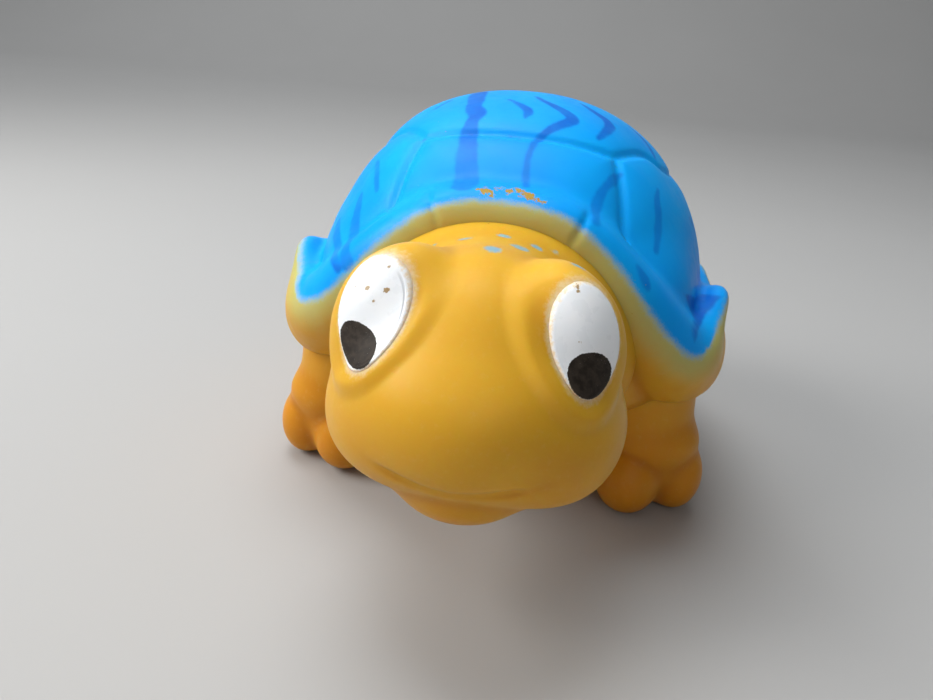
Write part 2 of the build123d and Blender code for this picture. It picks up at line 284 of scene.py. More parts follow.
def head_sdf(p):
    q = sym(p).astype(np.float32)
    d = ell(q, (0, -40.2, 35.4), (19.0, 19.8, 14.0))
    # forehead ridge and cheeks
    d = smin(d, ell(q, (0, -37.0, 40.4), (13.0, 16.6, 12.4)), 4.0)
    d = smin(d, ell(q, (0, -39.6, 42.4), (13.4, 12.4, 11.2)), 3.0)
    d = smin(d, ell(q, (8.5, -42.0, 30.8), (10.4, 12.0, 7.6)), 5.0)
    # lower jaw
    d = smin(d, ell(q, (0.0, -42.4, 25.2), (11.0, 12.6, 7.2)), 1.6)
    # neck
    t = np.clip((q[:, 1] + 36.0) / 12.0, 0, 1.15)
    zc = 38.5 - 4.3 * t
    # the throat side is shallower, so it meets the chest
    tall = 1.1 + 0.25 * step01((zc - q[:, 2]) / 10.0)
    neck = (np.sqrt(q[:, 0] ** 2 + ((q[:, 2] - zc) * tall) ** 2) - (14.5 + 7.5 * t)) * 0.84
    neck = smax(smax(neck, q[:, 1] + 15.0, 7.0), -37.0 - q[:, 1], 3.0)
    d = smin(d, neck, 4.0)
    # eyeballs, each raised a little inside a ring round the white
    o = eye_local(q, EYE_C, EYE_T)
    d = smin(d, ell(o, np.array(EYE_C) + np.array(BALL_C), BALL_R), 2.2)
    u, v, w = eye_uvw(q)
    r = np.sqrt(((u - RING_C[0]) / RING_R[0]) ** 2 + ((v - RING_C[1]) / RING_R[1]) ** 2)
    d = d - 0.80 * step01((1.0 - r) * min(RING_R) / 2.2 + 0.5) * step01((4.0 - w) / 6.0)
    # mouth line
    m = poly_distance(q, MOUTH)
    fade = step01((13.0 - q[:, 0]) / 8.0)
    d = d + 0.6 * fade * np.exp(-(m / 0.85) ** 2)
    # the cheek on the left is a little fuller
    return d - 1.0 * step01((p[:, 0] - 6.0) / 12.0) * step01((42.0 - p[:, 2]) / 9.0) * step01((-26.0 - p[:, 1]) / 8.0)


MOUTH = catmull([(0, -57.6, 28.4), (4, -57.4, 29.0), (8, -56.4, 30.3), (11.5, -54.4, 32.0), (14.0, -52.0, 33.8)], 5)
RING_C = (-0.8, 2.0)
RING_R = (7.8, 9.1)
# painted ellipses in the eyes' own axes: centre, long and short radius, tilt in degrees
WHITE = {"left": (-0.40, 2.72, 6.70, 4.49, -107.7), "right": (-1.35, 3.12, 7.10, 4.75, -119.0)}
PUPIL = {"left": (-1.46, -1.02, 2.68, 3.16, -95.7), "right": (-2.54, -0.63, 2.30, 3.62, -80.5)}



def tilted(u, v, e):
    a = np.radians(e[4])
    s = ((u - e[0]) * np.cos(a) + (v - e[1]) * np.sin(a)) / e[2]
    t = ((v - e[1]) * np.cos(a) - (u - e[0]) * np.sin(a)) / e[3]
    return np.sqrt(s * s + t * t)


def outside(p, table):
    # distance outside the painted ellipse of the eye on p's side
    u, v, w = eye_uvw(sym(p).astype(np.float32))
    left, right = table["left"], table["right"]
    return np.where(p[:, 0] > 0, (tilted(u, v, left) - 1) * left[3], (tilted(u, v, right) - 1) * right[3]), w


def step01(t):
    t = np.clip(t, 0, 1)
    return t * t * (3 - 2 * t)


def poly_distance(q, c):
    d = np.full(len(q), 1e3, np.float32)
    for i in range(len(c) - 1):
        d = np.minimum(d, seg(q, c[i], c[i + 1])[0])
    return d


def eye_uvw(q):
    # coordinates in an eye's own axes; w grows into the head
    l = eye_local(q, EYE_C, EYE_T) - np.asarray(EYE_C, np.float32)
    return l[:, 0], l[:, 2], l[:, 1]


def eye_sdf(p):
    # the painted white stands just proud of the eyeball
    e, w = outside(p, WHITE)
    e = smin(e, outside(p, PUPIL)[0], 0.3)
    return np.maximum(smax(head_sdf(p) - 0.28, e, 0.35), w + 1.0)


# ------------------------------------------------------------------ the legs
def front_leg_sdf(p):
    # left side (+X)
    q = p.astype(np.float32)
    d = cone(q, (27.0, -5.0, 26.0), (30.8, -6.2, 9.0), 9.8, 7.2)
    # ankle and toes
    d = smin(d, ell(q, (31.2, -6.6, 14.0), (7.6, 7.4, 4.6)), 3.0)
    d = smin(d, ell(q, (27.0, -10.8, 6.3), (5.9, 6.2, 6.5)), 1.4)
    d = smin(d, ell(q, (36.0, -6.9, 6.8), (4.9, 5.8, 7.0)), 1.4)
    d = smin(d, ell(q, (30.0, -3.0, 5.0), (8.0, 8.0, 5.2)), 3.0)
    d = smax(d, -p[:, 2], 1.0)
    return d


def rear_leg_sdf(p):
    q = p.astype(np.float32)
    d = cone(q, (25.5, 35.0, 23.0), (29.0, 37.4, 9.0), 9.6, 7.0)
    d = smin(d, ell(q, (29.8, 37.6, 13.6), (7.2, 7.2, 4.4)), 3.0)
    d = smin(d, ell(q, (34.8, 34.0, 6.5), (4.9, 5.6, 6.7)), 1.4)
    d = smin(d, ell(q, (32.4, 42.6, 6.2), (5.2, 5.4, 6.4)), 1.4)
    d = smin(d, ell(q, (28.6, 38.0, 5.0), (7.8, 8.0, 5.2)), 3.0)
    d = smax(d, -p[:, 2], 1.0)
    return d


def tail_sdf(p):
    q = p.astype(np.float32)
    return cone(q, (0, 46.0, 21.0), (0, 57.4, 17.6), 5.2, 2.4)


# ------------------------------------------------------------------ paint maps
# Every value below is a distance in millimetres, so a paint edge can be feathered in the material.

# edge of the blue paint round the shell, folded to +X (x, y, z)
BLUE_EDGE = catmull([
    (-6, -22.8, 57.0), (0, -22.8, 57.2), (5.3, -22.9, 56.9), (11.4, -23.3, 54.9), (18.0, -23.8, 49.8),
    (23.0, -23.4, 44.0), (28.4, -22.2, 38.6), (33.0, -18.6, 35.6), (37.2, -8.0, 39.4), (39.0, 0.0, 41.2),
    (38.6, 12.0, 37.4), (38.3, 24.0, 39.6), (34.6, 34.0, 36.6), (27.8, 45.4, 38.6), (14.2, 53.2, 36.0),
    (0.0, 56.2, 38.0), (-14.2, 53.2, 36.0)], 6)


def blue_distance(p):
    # above or inside the edge loop is positive
    q = sym(p)
    y0 = DOME_C[1]
    phi = np.arctan2(q[:, 0], -(q[:, 1] - y0))
    e = BLUE_EDGE
    ephi = np.unwrap(np.arctan2(e[:, 0], -(e[:, 1] - y0)))
    zl = np.interp(phi, ephi, e[:, 2])
    rl = np.interp(phi, ephi, np.hypot(e[:, 0], e[:, 1] - y0))
    r = np.hypot(q[:, 0], q[:, 1] - y0)
    s = np.maximum(q[:, 2] - zl, np.minimum(rl - r - 0.7, q[:, 2] - (zl - 4.5)))
    d = poly_distance(q, e)
    # the amber margin is wider at the front right corner
    corner = step01((-28.0 - p[:, 0]) / 4.0) * step01((4.0 - p[:, 1]) / 8.0)
    return np.where(s > 0, np.minimum(d, 3.0 * s), -np.minimum(d, 12.0)) + 0.4 - 0.9 * corner


# darker stripes: lines of (x, y, z, half width)
STRIPES = [
    [(-9.6, 12, 70.4, 1.5), (-9.4, 7.4, 69.9, 1.6), (-8.9, 2.9, 69.2, 1.6), (-8.9, -0.1, 68.4, 1.5), (-7.7, -3.2, 67.5, 1.5),
     (-8.2, -5.2, 66.5, 1.25), (-8.2, -8.3, 64.8, 1.5), (-7.5, -13.7, 61.8, 1.8), (-6.5, -19.4, 58.5, 2.0)],
    [(1.2, 7.0, 70.6, .2), (3.1, 4.1, 70.1, .6), (8.2, -1.3, 68.2, 1.25), (5.5, -5.5, 66.7, 1.0), (3.2, -9.0, 65.1, .6),
     (2.2, -13.4, 62.6, .45), (2.7, -18.5, 59.0, .5)],
    [(-3.2, 3.1, 69.9, .35), (0.5, -1.1, 68.9, .9), (0.5, -4.2, 67.7, .3)],
    [(9.4, 9.6, 69.9, .3), (11.4, 6.8, 69.4, .6), (14.9, 2.6, 67.5, 1.25), (12.9, -4.5, 65.6, .5)],
    [(18.6, 11.5, 67.0, .3), (22.0, 8.5, 65.0, .7), (24.0, 5.0, 62.8, .3)],
    [(17.4, -8.4, 61.0, .4), (16.1, -11.0, 60.3, .9), (14.2, -14.9, 58.3, .8), (13.7, -21.4, 55.4, .8)],
    [(24.0, -5.4, 58.6, .4), (24.1, -8.0, 57.2, .8), (24.6, -11.6, 53.6, .9), (24.2, -14.6, 50.5, .5)],
    [(20.8, -22.2, 49.5, .4), (22.0, -22.4, 48.0, .8), (22.7, -22.8, 46.6, .5)],
    [(-25.4, -3.6, 58.4, .4), (-24.7, -6.1, 57.9, .8), (-22.8, -12.1, 54.8, .5)],
    [(-26.8, -8.6, 53.2, .5), (-26.3, -11.2, 51.6, .9), (-25.2, -17.0, 48.2, 1.1), (-23.6, -23.1, 44.9, 1.1)],
    [(-30.6, -8.6, 48.2, .6), (-29.4, -12.0, 46.6, 1.0), (-27.4, -17.4, 45.0, 1.0), (-25.2, -22.6, 43.6, .6)],
    [(-16.5, 4.4, 67.0, .3), (-14.2, 8.0, 68.3, .5)],
    [(33.0, 2.0, 54.0, .4), (34.6, 5.6, 50.0, 1.0), (35.6, 7.0, 45.0, .5)],
    [(-33.0, 2.0, 54.0, .4), (-34.6, 5.6, 50.0, 1.0), (-35.6, 7.0, 45.0, .5)],
    [(34.0, 20.0, 51.0, .4), (33.4, 25.0, 49.0, 1.0), (33.8, 28.0, 44.0, .5)],
    [(-34.0, 20.0, 51.0, .4), (-33.4, 25.0, 49.0, 1.0), (-33.8, 28.0, 44.0, .5)],
    [(6.0, 40.0, 62.4, .5), (9.4, 44.0, 58.0, 1.2), (7.0, 49.0, 52.0, 1.4), (9.0, 53.0, 45.0, .9)],
    [(-8.0, 39.0, 62.4, .5), (-5.4, 44.5, 58.0, 1.0), (-9.0, 49.0, 52.0, 1.3), (-7.0, 53.0, 44.0, .8)],
    [(2.0, 24.0, 70.0, .5), (-3.0, 28.0, 68.6, 1.2), (0.0, 32.5, 66.6, .6)],
    [(14.0, 20.0, 68.0, .4), (10.6, 25.0, 67.8, 1.0), (13.0, 30.0, 65.0, .5)],
]
# filled dark patches on the brim corners, three corner points
CORNER_TRIANGLE = [(30.6, -12.4, 42.9), (37.0, -5.0, 41.1), (32.1, -17.5, 39.0)]
STAMP = (0.200, 0.934, -0.295)    # the direction that patch is stamped in
# blue spots of overspray behind the forehead
SPOTS = [(-8.8, -30.5, 50.6, .8), (-4.0, -32.0, 52.6, 1.1), (1.0, -29.4, 53.2, 1.0), (0.4, -39.0, 53.4, 1.3), (3.7, -34.5, 53.2, 1.4),
         (5.6, -30.0, 52.4, 1.0), (8.0, -28.0, 51.0, .9), (11.6, -42.0, 54.2, 1.0)]
# spots where the blue has chipped off along the front edge (x, y, z, radius)
CHIPS = [(-3.2, -21.6, 58.2, .9), (-2.0, -21.9, 57.9, .6), (-1.2, -20.4, 58.3, .5), (0.4, -20.9, 58.2, .7), (1.6, -20.2, 58.4, .8),
         (2.6, -21.2, 58.1, .8), (3.7, -21.6, 57.9, .9), (4.6, -21.9, 57.6, .6), (5.6, -22.1, 57.3, .6), (-4.2, -21.2, 58.0, .5)]


def press(p):
    # points pressed onto the dome from its centre
    o = np.array(DOME_C, np.float32)
    u = np.abs((p - o) / np.array(DOME_R, np.float32)) + 1e-5
    k = ((u[:, 0] ** DOME_N + u[:, 2] ** DOME_N) ** (DOME_M / DOME_N) + u[:, 1] ** DOME_M) ** (1.0 / DOME_M)
    return o + (p - o) / k[:, None]


def stripe_distance(p):
    d = np.full(len(p), 20.0, np.float32)
    f = press(p)
    for s in STRIPES:
        c = catmull(s, 5)
        c[:, :3] = press(c[:, :3])
        for i in range(len(c) - 1):
            e, t = seg(f, c[i, :3], c[i + 1, :3])
            d = np.minimum(d, e - (c[i, 3] + (c[i + 1, 3] - c[i, 3]) * t))
    a, b, c = np.array(CORNER_TRIANGLE, np.float32)
    n = np.array(STAMP, np.float32)
    turn = np.sign(np.cross(b - a, c - a) @ n)
    q = sym(p)
    tri = np.abs((q - a) @ n) - 12.0
    for u, v in ((a, b), (b, c), (c, a)):
        side = np.cross(v - u, n) * turn
        side /= np.linalg.norm(side)
        # slightly hollow sides
        m = (q - (u + v) / 2) @ ((v - u) / np.linalg.norm(v - u))
        w = np.linalg.norm(v - u) / 2
        tri = np.maximum(tri, (q - u) @ side + 0.5 * np.clip(1 - (m / w) ** 2, 0, 1) - 0.45)
    d = np.minimum(d, np.where(p[:, 0] > 0, tri, np.maximum(tri, tri + 2.2)))
    return -d


def ball_distance(p, balls):
    d = np.full(len(p), 20.0, np.float32)
    for x, y, z, r in balls:
        d = np.minimum(d, np.sqrt(((p - np.array([x, y, z], np.float32)) ** 2).sum(1)) - r)
    return d


# ------------------------------------------------------------------ meshing
def surface(sdf, lo, hi, h):
    """Closed quad mesh of sdf < 0 on a grid of pitch h, its vertices moved onto the surface."""
    lo = np.asarray(lo, float)
    H = 4
    nb = np.ceil((np.asarray(hi, float) - lo) / (h * H)).astype(int)
    cg = [lo[a] + h * H * np.arange(nb[a] + 1) for a in range(3)]
    X, Y, Z = np.meshgrid(*cg, indexing="ij")
    coarse = evaluate(sdf, np.stack([X, Y, Z], -1).reshape(-1, 3)).reshape(nb + 1)
    n = nb * H + 1
    field = np.repeat(np.repeat(np.repeat(coarse, H, 0), H, 1), H, 2)[: n[0], : n[1], : n[2]]
    field = np.sign(field).astype(np.float32) * 9
    near = np.abs(coarse) < h * H * 2.4
    block = np.zeros(nb, bool)
    for i in (0, 1):
        for j in (0, 1):
            for k in (0, 1):
                block |= near[i: i + nb[0], j: j + nb[1], k: k + nb[2]]
    fine = np.zeros(n, bool)
    b = np.argwhere(block)
    off = np.stack(np.meshgrid(*[np.arange(H + 1)] * 3, indexing="ij"), -1).reshape(-1, 3)
    idx = (b[:, None, :] * H + off[None]).reshape(-1, 3)
    fine[idx[:, 0], idx[:, 1], idx[:, 2]] = True
    at = np.argwhere(fine)
    field[at[:, 0], at[:, 1], at[:, 2]] = evaluate(sdf, lo + at * h)
    for a in range(3):
        # the box always closes the mesh
        edge = np.moveaxis(field, a, 0)
        edge[0], edge[-1] = np.maximum(edge[0], 0.5 * h), np.maximum(edge[-1], 0.5 * h)
    inside = field < 0
    cells = np.zeros(n - 1, np.int8)
    for i in (0, 1):
        for j in (0, 1):
            for k in (0, 1):
                cells += inside[i: i + n[0] - 1, j: j + n[1] - 1, k: k + n[2] - 1]
    active = np.argwhere((cells > 0) & (cells < 8))
    number = np.full(n - 1, -1, np.int64)
    number[active[:, 0], active[:, 1], active[:, 2]] = np.arange(len(active))
    total = np.zeros((len(active), 3))
    count = np.zeros(len(active))
    corner = np.array([(i, j, k) for i in (0, 1) for j in (0, 1) for k in (0, 1)])
    for a in range(8):
        for c in range(a + 1, 8):
            if np.abs(corner[a] - corner[c]).sum() != 1:
                continue
            pa, pc = active + corner[a], active + corner[c]
            fa, fc = field[tuple(pa.T)], field[tuple(pc.T)]
            cut = (fa < 0) != (fc < 0)
            t = np.clip(fa[cut] / (fa[cut] - fc[cut] + 1e-12), 0, 1)[:, None]
            total[cut] += pa[cut] * (1 - t) + pc[cut] * t
            count[cut] += 1
    verts = lo + h * total / count[:, None]
    quads = []
    for a in range(3):
        u, v = (a + 1) % 3, (a + 2) % 3
        s0 = [slice(None)] * 3
        s1 = [slice(None)] * 3
        s0[a], s1[a] = slice(0, -1), slice(1, None)
        i0, i1 = inside[tuple(s0)], inside[tuple(s1)]
        e = np.argwhere(i0 != i1)
        eu, ev = np.zeros(3, int), np.zeros(3, int)
        eu[u], ev[v] = 1, 1
        f = np.stack([number[tuple((e - eu - ev).T)], number[tuple((e - ev).T)], number[tuple(e.T)], number[tuple((e - eu).T)]], 1)
        flip = ~i0[tuple(e.T)]
        f[flip] = f[flip][:, ::-1]
        quads.append(f)
    quads = np.vstack(quads)
    v = verts
    for _ in range(3):
        d, g = evaluate(sdf, v), gradient(sdf, v)
        v = v - g * np.clip(d, -0.3 * h, 0.3 * h)[:, None]
    return v, quads


def evaluate(sdf, p, chunk=200000):
    return np.concatenate([sdf(p[i: i + chunk].astype(np.float32)) for i in range(0, len(p), chunk)])


def gradient(sdf, p, e=0.12):
    g = np.zeros((len(p), 3))
    for a in range(3):
        o = np.zeros(3)
        o[a] = e
        g[:, a] = evaluate(sdf, p + o) - evaluate(sdf, p - o)
    return g / (np.linalg.norm(g, axis=1)[:, None] + 1e-9)


def build(name, sdf, lo, hi, h, maps=()):
    """A mesh object from a distance field, with per-vertex maps the material reads."""
    t0 = time.time()
    v, f = surface(sdf, lo, hi, h)
    me = bpy.data.meshes.new(name)
    me.from_pydata((v * MM).tolist(), [], f.tolist())
    me.update()
    me.polygons.foreach_set("use_smooth", np.ones(len(me.polygons), bool))
    ob = bpy.data.objects.new(name, me)
    bpy.context.scene.collection.objects.link(ob)
    # how hollow or proud the surface is here, and its rest position, for the materials
    g = gradient(sdf, v, 0.3)
    hollow = (evaluate(sdf, v + 1.6 * g) - 1.6) / 1.6 - (evaluate(sdf, v - 1.6 * g) + 1.6) / 1.6
    add_map(me, "hollow", hollow)
    for key, fn in maps:
        add_map(me, key, fn(v.astype(np.float32)))
    at = me.attributes.new("rest", "FLOAT_VECTOR", "POINT")
    at.data.foreach_set("vector", v.astype(np.float32).ravel())
    print(name, len(me.vertices), "vertices", len(me.polygons) * 2, "triangles", round(time.time() - t0, 1), "s", flush=True)
    return ob


def add_map(me, key, values):
    at = me.attributes.new(key, "FLOAT", "POINT")
    at.data.foreach_set("value", np.asarray(values, np.float32))


def mirrored(f):
    def g(p):
        q = p.copy()
        q[:, 0] *= -1
        return f(q)
    return g


# ------------------------------------------------------------------ material kit
class Nodes:
    def __init__(self, name):
        self.mat = bpy.data.materials.new(name)
        self.mat.use_nodes = True
        self.t = self.mat.node_tree
        self.t.nodes.clear()
        self.out = self.t.nodes.new("ShaderNodeOutputMaterial")
        self.bsdf = self.t.nodes.new("ShaderNodeBsdfPrincipled")
        self.link(self.bsdf.outputs[0], self.out.inputs[0])

    def link(self, a, b):
        self.t.links.new(a, b)

    def put(self, socket, value):
        if hasattr(value, "is_linked") or hasattr(value, "links"):
            self.link(value, socket)
        else:
            socket.default_value = value

    def rest(self):
        # rest position in millimetres
        n = self.t.nodes.new("ShaderNodeAttribute")
        n.attribute_name = "rest"
        return n.outputs["Vector"]

    def obj(self):
        # object position scaled to millimetres
        n = self.t.nodes.new("ShaderNodeTexCoord")
        m = self.t.nodes.new("ShaderNodeVectorMath")
        m.operation = "SCALE"
        m.inputs["Scale"].default_value = 1000.0
        self.link(n.outputs["Object"], m.inputs[0])
        return m.outputs[0]

    def attr(self, name):
        n = self.t.nodes.new("ShaderNodeAttribute")
        n.attribute_name = name
        return n.outputs["Fac"]

    def noise(self, vec, scale, detail=3.0, rough=0.55, distort=0.0, dims="3D"):
        n = self.t.nodes.new("ShaderNodeTexNoise")
        n.inputs["Scale"].default_value = scale
        n.inputs["Detail"].default_value = detail
        n.inputs["Roughness"].default_value = rough
        n.inputs["Distortion"].default_value = distort
        self.link(vec, n.inputs["Vector"])
        return n.outputs["Fac"]

    def voronoi(self, vec, scale, feature="F1"):
        n = self.t.nodes.new("ShaderNodeTexVoronoi")
        n.feature = feature
        n.inputs["Scale"].default_value = scale
        self.link(vec, n.inputs["Vector"])
        return n.outputs["Distance"]

    def math(self, op, a, b=0.0, c=0.0, clamp=False):
        n = self.t.nodes.new("ShaderNodeMath")
        n.operation = op
        n.use_clamp = clamp
        self.put(n.inputs[0], a)
        self.put(n.inputs[1], b)
        self.put(n.inputs[2], c)
        return n.outputs[0]

    def ramp(self, x, lo, hi, a=0.0, b=1.0, smooth=True):
        n = self.t.nodes.new("ShaderNodeMapRange")
        n.interpolation_type = "SMOOTHSTEP" if smooth else "LINEAR"
        n.inputs["From Min"].default_value = lo
        n.inputs["From Max"].default_value = hi
        n.inputs["To Min"].default_value = a
        n.inputs["To Max"].default_value = b
        self.link(x, n.inputs["Value"])
        return n.outputs[0]

    def mix(self, fac, a, b, mode="MIX"):
        n = self.t.nodes.new("ShaderNodeMix")
        n.data_type = "RGBA"
        n.blend_type = mode
        self.put(n.inputs[0], fac)
        self.put(n.inputs[6], a if not isinstance(a, tuple) else (*a, 1.0))
        self.put(n.inputs[7], b if not isinstance(b, tuple) else (*b, 1.0))
        return n.outputs[2]

    def mixf(self, fac, a, b):
        n = self.t.nodes.new("ShaderNodeMix")
        n.data_type = "FLOAT"
        self.put(n.inputs[0], fac)
        self.put(n.inputs[2], a)
        self.put(n.inputs[3], b)
        return n.outputs[0]

    def z(self, vec, axis=2):
        n = self.t.nodes.new("ShaderNodeSeparateXYZ")
        self.link(vec, n.inputs[0])
        return n.outputs[axis]

    def bump(self, height, strength, distance, normal=None):
        n = self.t.nodes.new("ShaderNodeBump")
        n.inputs["Strength"].default_value = strength
        n.inputs["Distance"].default_value = distance
        self.link(height, n.inputs["Height"])
        if normal is not None:
            self.link(normal, n.inputs["Normal"])
        return n.outputs[0]

    def set(self, **kw):
        names = {"color": "Base Color", "rough": "Roughness", "sss": "Subsurface Weight", "radius": "Subsurface Radius",
                 "scale": "Subsurface Scale", "spec": "Specular IOR Level", "coat": "Coat Weight", "coat_rough": "Coat Roughness",
                 "normal": "Normal", "metal": "Metallic", "ior": "IOR", "trans": "Transmission Weight", "sheen": "Sheen Weight",
                 "alpha": "Alpha"}
        for k, v in kw.items():
            s = self.bsdf.inputs[names[k]]
            if isinstance(v, tuple) and len(v) == 3 and k == "color":
                v = (*v, 1.0)
            self.put(s, v)


def vinyl_colour(n, vec):
    """Amber vinyl, faintly cloudy, with painted shade making it deeper and browner towards the bottom and in the
    hollows, and painted light making proud parts paler.
    """
    h = n.z(vec)
    cloud = n.noise(vec, 0.055, 3.0, 0.5)
    # painted shade: the colour turns deeper and browner towards the bottom
    underside_shade = n.ramp(n.math("ADD", h, n.math("MULTIPLY", n.math("SUBTRACT", cloud, 0.5), 14.0)), 4.0, 46.0)
    col = n.mix(underside_shade, (0.62, 0.245, 0.011), (0.72, 0.400, 0.028))
    # painted shade: deeper brown in the hollows
    hollow_shade = n.ramp(n.attr("hollow"), -0.50, 0.0, 1.0, 0.0)
    col = n.mix(n.math("MULTIPLY", hollow_shade, 0.55), col, (0.46, 0.135, 0.004))
    # painted light: paler on the proud parts
    pale = n.ramp(n.attr("hollow"), 0.05, 0.6)
    col = n.mix(n.math("MULTIPLY", pale, 0.15), col, (0.92, 0.60, 0.10))
    # fine dust and tiny brown pits
    pits = n.ramp(n.voronoi(vec, 0.21), 0.0, 0.045, 1.0, 0.0)
    gate = n.ramp(n.noise(vec, 0.16, 1.0), 0.56, 0.60)
    col = n.mix(n.math("MULTIPLY", n.math("MULTIPLY", pits, gate), 0.6), col, (0.30, 0.13, 0.03))
    dust = n.ramp(n.noise(vec, 0.9, 5.0, 0.7), 0.52, 0.80)
    col = n.mix(n.math("MULTIPLY", dust, 0.10), col, (0.88, 0.70, 0.36))
    return col


def vinyl_finish(n, vec):
    smear = n.noise(vec, 0.12, 4.0, 0.6, 0.4)
    grain = n.noise(vec, 2.6, 3.0, 0.6)
    rough = n.math("ADD", n.ramp(smear, 0.3, 0.7, 0.34, 0.44), n.math("MULTIPLY", grain, 0.05))
    bump = n.bump(grain, 0.16, 0.00006)
    bump = n.bump(n.noise(vec, 0.35, 2.0), 0.25, 0.00022, bump)
    return rough, bump


def make_vinyl(name, painted=False, spotted=False):
    n = Nodes(name)
    vec = n.rest()
    col = vinyl_colour(n, vec)
    rough, bump = vinyl_finish(n, vec)
    sss = 0.55
    if spotted:
        sp = n.math("ADD", n.attr("spot"), n.math("MULTIPLY", n.math("SUBTRACT", n.noise(vec, 0.9, 3.0), 0.5), 1.5))
        f = n.ramp(sp, -0.5, 0.35, 0.85, 0.0)
        col = n.mix(f, col, (0.16, 0.42, 0.56))
        # thin white overspray just outside the eye whites
        halo = n.math("ADD", n.attr("halo"), n.math("MULTIPLY", n.math("SUBTRACT", n.noise(vec, 1.6, 4.0, 0.7), 0.5), 1.1))
        col = n.mix(n.ramp(halo, -0.2, 0.75, 0.55, 0.0), col, (0.90, 0.80, 0.66))
    if painted:
        rag = n.math("MULTIPLY", n.math("SUBTRACT", n.noise(vec, 0.55, 4.0, 0.62), 0.5), 1.1)
        s = n.math("ADD", n.attr("blue"), rag)
        fine = n.math("MULTIPLY", n.math("SUBTRACT", n.noise(vec, 5.0, 2.0, 0.7), 0.5), 1.2)
        s2 = n.math("ADD", s, fine)
        # dull greenish veil of overspray, a pale feathered edge, then full blue
        col = n.mix(n.ramp(s2, -6.5, -0.4, 0.0, 0.85), col, (0.46, 0.48, 0.18))
        col = n.mix(n.ramp(s2, -1.0, 0.15, 0.0, 0.58), col, (0.30, 0.53, 0.68))
        cloud = n.noise(vec, 0.045, 3.0, 0.5)
        blue = n.mix(n.ramp(cloud, 0.35, 0.65), (0.002, 0.33, 0.94), (0.004, 0.40, 0.99))
        # the dark paint of the stripes: soft sprayed edges, a little uneven
        wob = n.math("MULTIPLY", n.math("SUBTRACT", n.noise(vec, 0.22, 2.0), 0.5), 1.2)
        st = n.math("ADD", n.attr("stripe"), n.math("ADD", wob, n.math("MULTIPLY", fine, 0.25)))
        thin = n.ramp(n.noise(vec, 0.35, 3.0), 0.3, 0.75, 0.80, 1.0)
        thin = n.math("MULTIPLY", thin, n.math("MAXIMUM", n.ramp(n.z(vec), 58.0, 68.0, 0.58, 0.96), n.ramp(n.z(vec), 43.0, 46.0, 0.96, 0.0)))
        blue = n.mix(n.math("MULTIPLY", n.ramp(st, -0.35, 0.40), thin), blue, (0.004, 0.130, 0.62))
        # painted highlight: lighter blue on the proud edges
        proud_edge_highlight = n.math("MULTIPLY", n.ramp(n.attr("hollow"), 0.10, 0.45), n.ramp(n.noise(vec, 0.5, 4.0, 0.7), 0.40, 0.62))
        blue = n.mix(n.math("MULTIPLY", proud_edge_highlight, 0.45), blue, (0.30, 0.60, 0.88))
        full = n.ramp(s2, -0.55, 1.05)
        # in the seams the paint is thin, and the dark olive there is partly painted shade of the groove
        seam = n.math("ADD", n.attr("seam"), n.math("MULTIPLY", n.math("SUBTRACT", n.noise(vec, 0.8, 3.0), 0.5), 0.5))
        seam_thin_paint_and_shade = n.math("MULTIPLY", n.ramp(seam, 0.05, 0.42, 1.0, 0.0), n.ramp(n.noise(vec, 0.09, 2.0), 0.35, 0.60, 0.45, 1.0))
        blue = n.mix(seam_thin_paint_and_shade, blue, (0.060, 0.095, 0.045))
        # chips where the vinyl shows through
        chip = n.math("ADD", n.attr("chip"), n.math("MULTIPLY", n.math("SUBTRACT", n.noise(vec, 1.3, 4.0, 0.75), 0.5), 3.4))
        bare = n.ramp(chip, -0.15, 0.05, 1.0, 0.0)
        spray = n.ramp(n.voronoi(vec, 0.55), 0.03, 0.06, 1.0, 0.0)
        spray = n.math("MULTIPLY", spray, n.ramp(n.noise(vec, 0.1, 2.0), 0.55, 0.62))
        bare = n.math("MAXIMUM", bare, n.math("MULTIPLY", spray, 0.8))
        full = n.math("MULTIPLY", full, n.math("SUBTRACT", 1.0, bare))
        bare_col = n.mix(bare, col, (0.42, 0.27, 0.045))
        col = n.mix(full, bare_col, blue)
        sss = n.mixf(full, 0.55, 0.12)
        rough = n.mixf(full, rough, n.ramp(n.noise(vec, 0.3, 4.0, 0.6), 0.3, 0.7, 0.34, 0.46))
        bump = n.bump(full, 0.5, 0.00003, bump)
        bump = n.bump(n.noise(vec, 6.0, 2.0), 0.12, 0.00004, bump)
    n.set(color=col, rough=rough, normal=bump, spec=n.mixf(full, 0.20, 0.14) if painted else 0.20, sss=sss, radius=(1.0, 0.40, 0.08), scale=0.0036, ior=1.5)
    return n.mat


